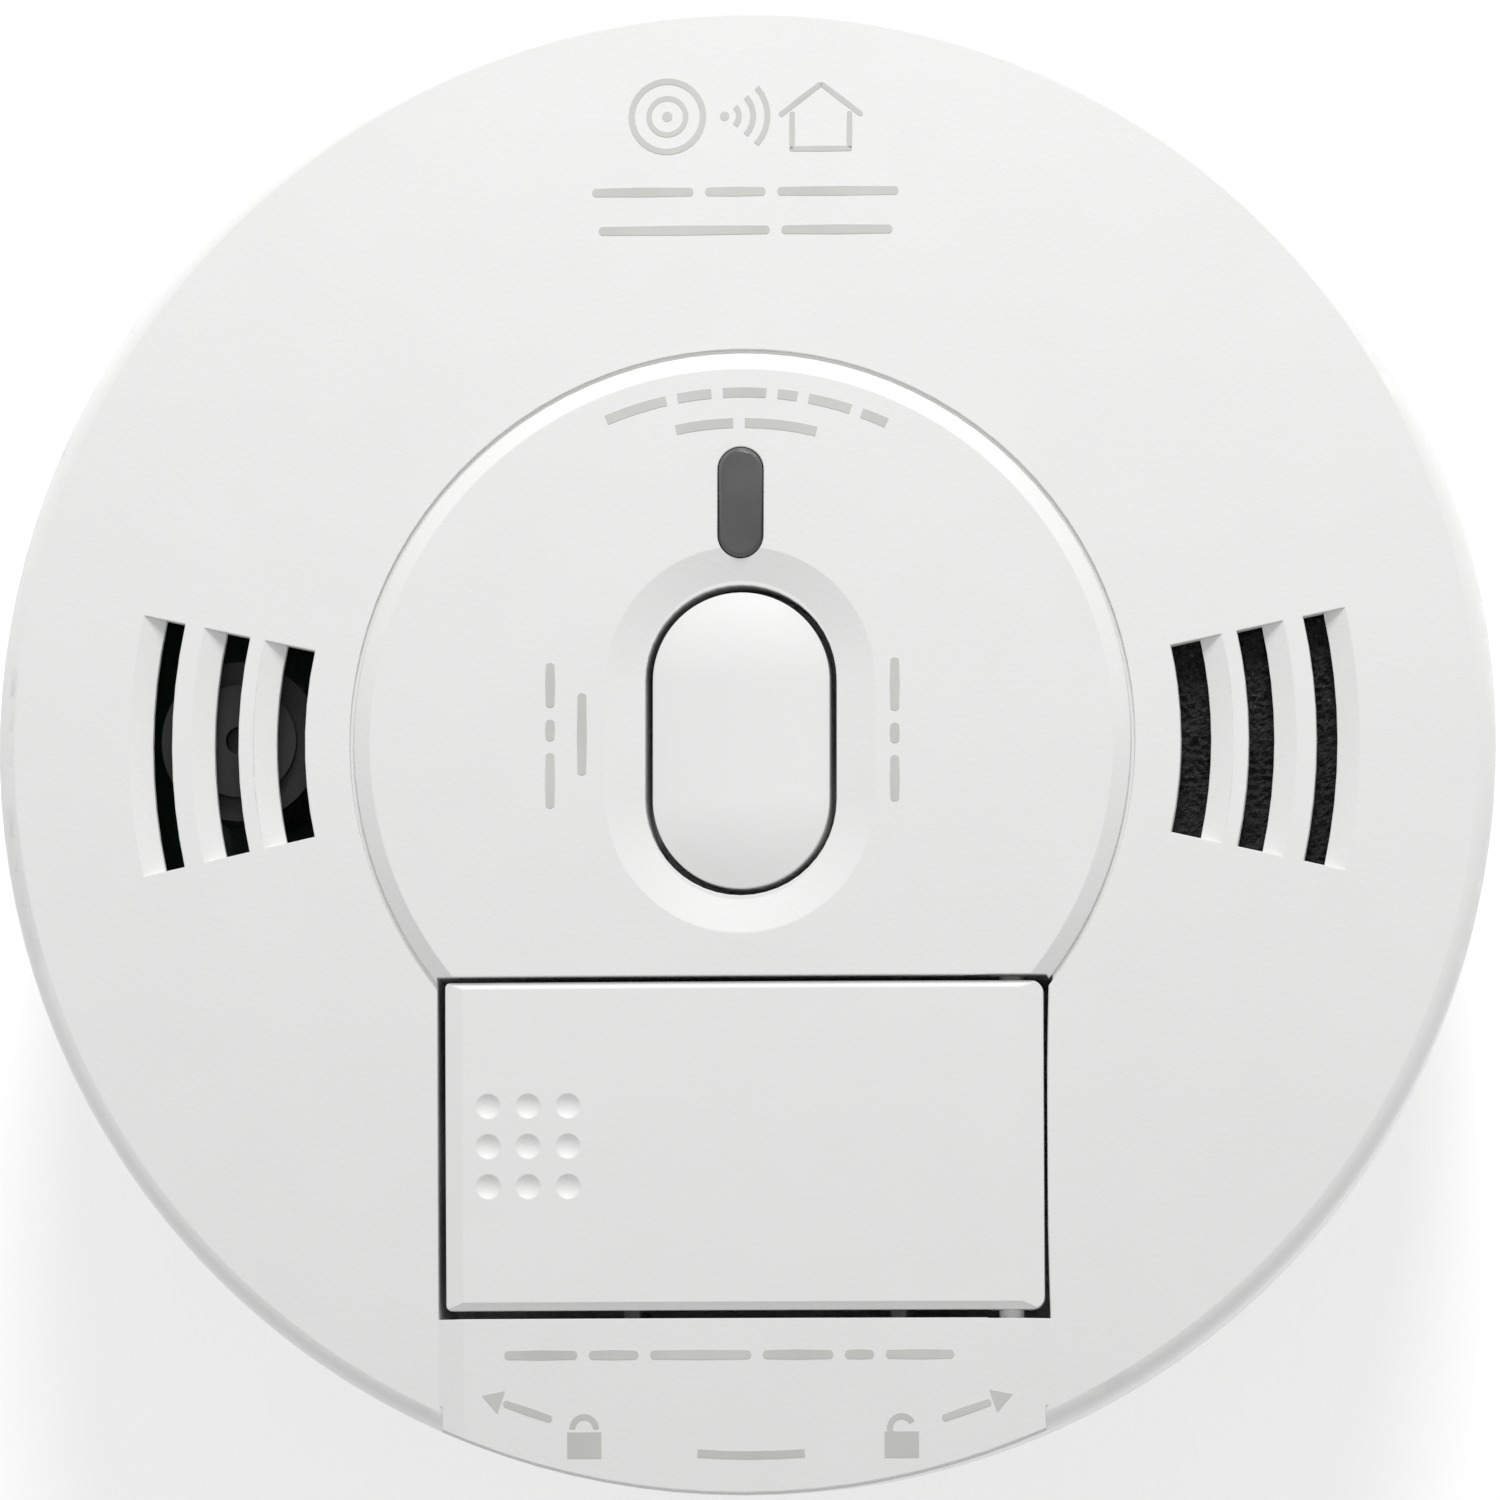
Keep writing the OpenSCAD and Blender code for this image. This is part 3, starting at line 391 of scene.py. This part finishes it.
# %% The foam pad
foam_low, foam_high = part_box("vent_screen")
FOAM_R0, FOAM_R1 = 40.5 * MM, foam_high.x
FOAM_HALF = math.asin(foam_high.y / FOAM_R1)
COVER_WALL = 2.2 * MM
FOAM_GAP = 0.1 * MM
CELL_DEEP = 0.75 * MM
UNDER_GAP = 0.05 * MM
COARSE_CELLS, FINE_CELLS = 1150, 2300
pad = bmesh.new()
bmesh.ops.create_grid(pad, x_segments=84, y_segments=110, size=0.5)
for v in pad.verts:
    radius = FOAM_R0 + (FOAM_R1 - FOAM_R0) * (v.co.x + 0.5)
    angle = 2 * FOAM_HALF * v.co.y
    x, y = radius * math.cos(angle), radius * math.sin(angle)
    coarse = abs(noise.noise(Vector((x, y, 0)) * COARSE_CELLS))
    fine = abs(noise.noise(Vector((x, y, 3)) * FINE_CELLS))
    sunk = CELL_DEEP * min(1, coarse + fine / 2)
    v.co = (x, y, dome_height(x, y, -COVER_WALL) - FOAM_GAP - sunk)
under = bmesh.ops.extrude_face_region(pad, geom=pad.faces[:])["geom"]
for v in [g for g in under if isinstance(g, bmesh.types.BMVert)]:
    v.co.z = foam_low.z + UNDER_GAP
bmesh.ops.recalc_face_normals(pad, faces=pad.faces)


def add_piece(name, bm, mats, body):
    """Makes a mesh object of a bmesh, gives it its finishes, body and material slot."""
    mesh = bpy.data.meshes.new(name)
    bm.to_mesh(mesh)
    bm.free()
    piece = bpy.data.objects.new(name, mesh)
    bpy.context.scene.collection.objects.link(piece)
    for mat in mats:
        mesh.materials.append(mat)
    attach(piece, body)
    print(name, "has", len(mesh.polygons), "faces")
    return piece


foam_cells = finish("foam_cells", (0.02, 0.02, 0.021), 0.8, 0.9, 0.3, 0.2, 0.02)
foam_ramp = foam_cells.node_tree.nodes["Color Ramp"].color_ramp
foam_ramp.elements[0].position, foam_ramp.elements[1].position = 0.6, 0.72
foam_ramp.elements[0].color = (0.004, 0.004, 0.004, 1)
foam_ramp.elements[1].color = (0.055, 0.055, 0.055, 1)
CELL_SIZE = 0.42 * MM
for tex in foam_cells.node_tree.nodes:
    if tex.type == "TEX_NOISE":
        fed = [link.to_node.type for link in tex.outputs["Fac"].links]
        if "VALTORGB" in fed:
            tex.inputs["Scale"].default_value = 1 / CELL_SIZE
foam_pad = add_piece("foam_pad", pad, [foam_cells], "alarm")
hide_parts("vent_screen")

# %% [markdown]
# ## Wound springs
# The CAD springs are coarse. A real one is round wire: a small circle spun round the axis while
# it climbs, which is what the spin operator does when it is given a step along the axis. The
# springs under the button and the latch are squashed as those pieces go in, so each is told which
# joint squashes it, towards which end and how much of its length it keeps.

# %% Wind and place the springs
STEPS_PER_TURN = 26


def wound_spring(name, node, x, y, wire, turns):
    """Winds a spring in the box of its CAD node, moves it into place and hides the CAD spring."""
    low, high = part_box(node)
    radius = (high.x - low.x - wire) / 2
    rise = high.z - low.z - wire
    steps = turns * STEPS_PER_TURN
    bm = bmesh.new()
    ring = bmesh.ops.create_circle(bm, segments=10, radius=wire / 2)["verts"]
    upright = Matrix.Rotation(math.pi / 2, 3, "X")
    bmesh.ops.rotate(bm, verts=ring, cent=(0, 0, 0), matrix=upright)
    bmesh.ops.translate(bm, verts=ring, vec=(radius, 0, low.z + wire / 2))
    bmesh.ops.spin(bm, geom=ring + bm.edges[:], cent=(0, 0, 0), axis=(0, 0, 1),
                   dvec=(0, 0, rise / steps), angle=math.tau * turns, steps=steps,
                   use_merge=False)
    bmesh.ops.holes_fill(bm, edges=[e for e in bm.edges if e.is_boundary], sides=0)
    bmesh.ops.translate(bm, verts=bm.verts, vec=(x, y, 0))
    bmesh.ops.recalc_face_normals(bm, faces=bm.faces)
    for face in bm.faces:
        face.smooth = len(face.verts) == 4
    spring = add_piece(name, bm, [spring_wire], "alarm")
    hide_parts(node)
    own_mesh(spring)


latch_low, latch_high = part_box("latch_plunger")
latch_at = (latch_low + latch_high) / 2
wound_spring("spring_of_button", "button_spring", 0, 0, 0.6 * MM, 5)
wound_spring("spring_of_latch", "latch_spring", latch_at.x, latch_at.y, 0.35 * MM, 7)

# %% [markdown]
# ## The battery
# The block battery behind the door is a thin steel jacket with rounded long edges, rolled over a
# plate at each end. It starts as a cube stretched to the CAD block. Its long edges are bevelled,
# and insetting each end face and pushing it in leaves the rolled rim. The snaps on its end are
# turned shapes, so each is spun from a profile: a closed stud, and a socket that flares out. The
# profiles give radius in millimetres and height as a share of the CAD terminals' height.

# %% The battery's jacket
cell_low, cell_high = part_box("battery")
cell_size, cell_mid = cell_high - cell_low, (cell_high + cell_low) / 2
JACKET_ROUND = 2 * MM
RIM_FLAT, RIM_SLOPE, RIM_DEEP = 0.5 * MM, 0.25 * MM, 0.45 * MM
BAND_START, BAND_END, TRIM_END = -0.31, -0.3, 0.36
cell = bmesh.new()
bmesh.ops.create_cube(cell, size=1)
bmesh.ops.scale(cell, vec=cell_size, verts=cell.verts)
long_edges = [e for e in cell.edges if abs(e.verts[0].co.x - e.verts[1].co.x) > 1e-4]
bmesh.ops.bevel(cell, geom=long_edges, offset=JACKET_ROUND, offset_type="OFFSET", segments=6,
                profile=0.5, affect="EDGES", material=-1)
ends = [f for f in cell.faces if abs(f.normal.x) > 0.9]
bmesh.ops.inset_individual(cell, faces=ends, thickness=RIM_FLAT, depth=0)
bmesh.ops.inset_individual(cell, faces=ends, thickness=RIM_SLOPE, depth=-RIM_DEEP)
for cut_x in (BAND_START, BAND_END, TRIM_END):
    bmesh.ops.bisect_plane(cell, geom=cell.verts[:] + cell.edges[:] + cell.faces[:],
                           plane_co=(cut_x * cell_size.x, 0, 0), plane_no=(1, 0, 0))
jacket_pale = finish("jacket_pale", (0.5, 0.52, 0.54), 0.3, 0.04, 0.6, 0.003, 0.2, coat=0.3)
end_plate = finish("end_plate", (0.55, 0.55, 0.56), 0.35, 0.06, 0.3, 0.004, 0.1, metal=1)
for face in cell.faces:
    middle = face.calc_center_median().x / cell_size.x
    if abs(face.normal.x) > 0.7:
        face.material_index = 2
    elif BAND_END < middle < TRIM_END or middle < BAND_START:
        face.material_index = 0
    else:
        face.material_index = 1
    face.smooth = abs(face.normal.x) < 0.7
bmesh.ops.translate(cell, verts=cell.verts, vec=cell_mid)
battery_cell = add_piece("battery_cell", cell, [jacket_grey, jacket_pale, end_plate],
                         "alarm")
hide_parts("battery")

# %% The battery's snaps
SNAP_GAP = 12.7 * MM
snap_low, snap_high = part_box("battery_terminals")
snap_base, snap_tall = snap_low.x, snap_high.x - snap_low.x
STUD = ((0, 1.0), (1.7, 1.0), (2.15, 0.9), (2.4, 0.7), (2.45, 0.45), (2.3, 0.15), (2.3, 0), (0, 0))
SOCKET = ((0, 0.3), (2.6, 0.3), (2.75, 0.5), (2.6, 0.8), (2.75, 1.0), (3.15, 1.0),
          (3.3, 0.6), (3.1, 0.3), (3.4, 0.12), (3.9, 0.06), (3.9, 0), (0, 0))
snaps = bmesh.new()
for side, profile in ((1, STUD), (-1, SOCKET)):
    before = set(snaps.verts)
    chain = [snaps.verts.new((r * MM, 0, h * snap_tall)) for r, h in profile]
    links = [snaps.edges.new(pair) for pair in zip(chain, chain[1:])]
    bmesh.ops.spin(snaps, geom=chain + links, cent=(0, 0, 0), axis=(0, 0, 1), dvec=(0, 0, 0),
                   angle=math.tau, steps=36, use_merge=True)
    new = [v for v in snaps.verts if v not in before]
    lying = Matrix.Rotation(math.pi / 2, 3, "Y")
    bmesh.ops.rotate(snaps, verts=new, cent=(0, 0, 0), matrix=lying)
    snap_y = cell_mid.y + side * SNAP_GAP / 2
    bmesh.ops.translate(snaps, verts=new, vec=(snap_base, snap_y, cell_mid.z))
bmesh.ops.remove_doubles(snaps, verts=snaps.verts, dist=1e-6)
bmesh.ops.recalc_face_normals(snaps, faces=snaps.faces)
battery_snaps = add_piece("battery_snaps", snaps, [zinc_steel], "alarm")
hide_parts("battery_terminals")

# %% [markdown]
# ## Lights, floor and camera
# A white thing on a white floor only reads by its shading, so the light is a large soft one from
# above the top edge of the face, with a weaker even light all round. The camera looks almost
# straight down from a long way off through a long lens, a little from below and from the right.
# The lens is just long enough for the alarm to fill the frame.

# %% The camera
FILL = 0.9990
SENSOR = 36
half = max(CAD_BOX[1].x, CAD_BOX[1].y)
aim = Vector((0.54, -0.58, 40)) * MM
away = 1.5
lean_x, lean_y = math.radians(4.2), math.radians(-4.9)
eye = aim + away * Vector((math.tan(lean_x), math.tan(lean_y), 1)).normalized()
camera_data = bpy.data.cameras.new("camera")
camera = bpy.data.objects.new("camera", camera_data)
bpy.context.scene.collection.objects.link(camera)
back = (eye - aim).normalized()
right = Vector((0, 1, 0)).cross(back).normalized()
up = back.cross(right)
turn = Matrix((right, up, back)).transposed().to_4x4()
camera.matrix_world = Matrix.Translation(eye) @ turn
camera_data.sensor_width = SENSOR
camera_data.lens = SENSOR * away / (2 * half * FILL)
camera_data.clip_end = 10
bpy.context.scene.camera = camera
print("lens %.0f mm" % camera_data.lens)


# %% Lights and floor
def soft_light(name, place, size, power):
    """A round soft light that faces the alarm; size in metres, power in watts."""
    data = bpy.data.lights.new(name, "AREA")
    data.shape = "DISK"
    data.size = size
    data.energy = power
    lamp = bpy.data.objects.new(name, data)
    lamp.location = place
    lamp.rotation_euler = (aim - Vector(place)).to_track_quat("-Z", "Y").to_euler()
    bpy.context.scene.collection.objects.link(lamp)


soft_light("key", (0.11, 1.2, 0.78), 0.6, 14.8)
world = bpy.data.worlds.new("studio")
world.use_nodes = True
world.node_tree.nodes["Background"].inputs["Color"].default_value = (1, 1, 1, 1)
world.node_tree.nodes["Background"].inputs["Strength"].default_value = 0.58
bpy.context.scene.world = world
bpy.context.scene.view_settings.view_transform = "Standard"

sheet = bmesh.new()
bmesh.ops.create_grid(sheet, x_segments=2, y_segments=2, size=1.5)
floor_mesh = bpy.data.meshes.new("floor")
sheet.to_mesh(floor_mesh)
sheet.free()
floor = bpy.data.objects.new("floor", floor_mesh)
floor.location.z = CAD_BOX[0].z - 0.02 * MM
bpy.context.scene.collection.objects.link(floor)
floor_paper = finish("floor_paper", (0.93, 0.93, 0.93), 0.9, 0.003, 2, 0.01, 0.01)
floor_glow = floor_paper.node_tree.nodes["Principled BSDF"].inputs
floor_glow["Emission Color"].default_value = (1, 1, 1, 1)
floor_glow["Emission Strength"].default_value = 0.3
floor_mesh.materials.append(floor_paper)
floor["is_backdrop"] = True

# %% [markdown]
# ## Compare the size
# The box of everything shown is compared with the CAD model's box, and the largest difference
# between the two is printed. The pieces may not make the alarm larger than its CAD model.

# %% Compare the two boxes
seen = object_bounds()
grown = max(abs(a - b) for i in (0, 1) for a, b in zip(CAD_BOX[i], seen[i]))
print("grew by %.3f mm" % (grown / MM))
